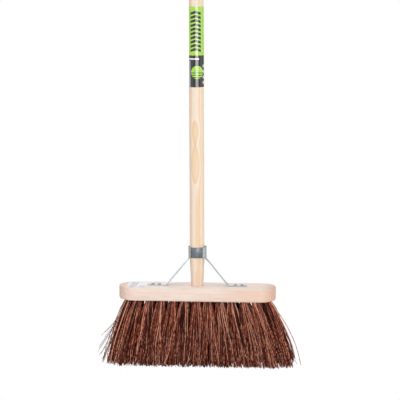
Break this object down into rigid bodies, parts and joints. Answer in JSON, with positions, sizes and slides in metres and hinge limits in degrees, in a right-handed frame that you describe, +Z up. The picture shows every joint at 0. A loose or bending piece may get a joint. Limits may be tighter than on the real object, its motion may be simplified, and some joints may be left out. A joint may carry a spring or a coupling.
{
  "type": "piassava broom",
  "caption": "Stiff outdoor broom: a beech block set with flared tufts of piassava fibre, on a round wooden handle held by a clamp band and two screwed steel stays.",
  "frame": {"origin": "on the floor under the middle of the block, at the centre of the foot of the bounding box, where the tufts' tips rest", "axes": "+X along the block towards its right end as seen in the picture, +Y away from the viewer, +Z up along the handle"},
  "size_m": [0.3862, 0.1058, 1.6348],
  "materials": {
    "beech": "satin",
    "pine": "satin",
    "label_film": "gloss",
    "sticker_paper": "satin",
    "zinc_plate": "satin",
    "screw_steel": "satin",
    "piassava": "matte"
  },
  "bodies": {
    "root": {"brush_block": "beech", "clamp_band": "zinc_plate", "handle": "pine", "handle_label": "label_film", "left_inner_screw": "screw_steel", "left_outer_screw": "screw_steel", "left_stay": "zinc_plate", "price_sticker": "sticker_paper", "right_inner_screw": "screw_steel", "right_outer_screw": "screw_steel", "right_stay": "zinc_plate", "tuft_back_01": "piassava", "tuft_back_02": "piassava", "tuft_back_03": "piassava", "tuft_back_04": "piassava", "tuft_back_05": "piassava", "tuft_back_06": "piassava", "tuft_back_07": "piassava", "tuft_back_08": "piassava", "tuft_back_09": "piassava", "tuft_back_10": "piassava", "tuft_back_11": "piassava", "tuft_front_01": "piassava", "tuft_front_02": "piassava", "tuft_front_03": "piassava", "tuft_front_04": "piassava", "tuft_front_05": "piassava", "tuft_front_06": "piassava", "tuft_front_07": "piassava", "tuft_front_08": "piassava", "tuft_front_09": "piassava", "tuft_front_10": "piassava", "tuft_front_11": "piassava", "tuft_midback_01": "piassava", "tuft_midback_02": "piassava", "tuft_midback_03": "piassava", "tuft_midback_04": "piassava", "tuft_midback_05": "piassava", "tuft_midback_06": "piassava", "tuft_midback_07": "piassava", "tuft_midback_08": "piassava", "tuft_midback_09": "piassava", "tuft_midback_10": "piassava", "tuft_midback_11": "piassava", "tuft_midback_12": "piassava", "tuft_midback_13": "piassava", "tuft_midfront_01": "piassava", "tuft_midfront_02": "piassava", "tuft_midfront_03": "piassava", "tuft_midfront_04": "piassava", "tuft_midfront_05": "piassava", "tuft_midfront_06": "piassava", "tuft_midfront_07": "piassava", "tuft_midfront_08": "piassava", "tuft_midfront_09": "piassava", "tuft_midfront_10": "piassava", "tuft_midfront_11": "piassava", "tuft_midfront_12": "piassava", "tuft_midfront_13": "piassava"}
  },
  "joints": []
}
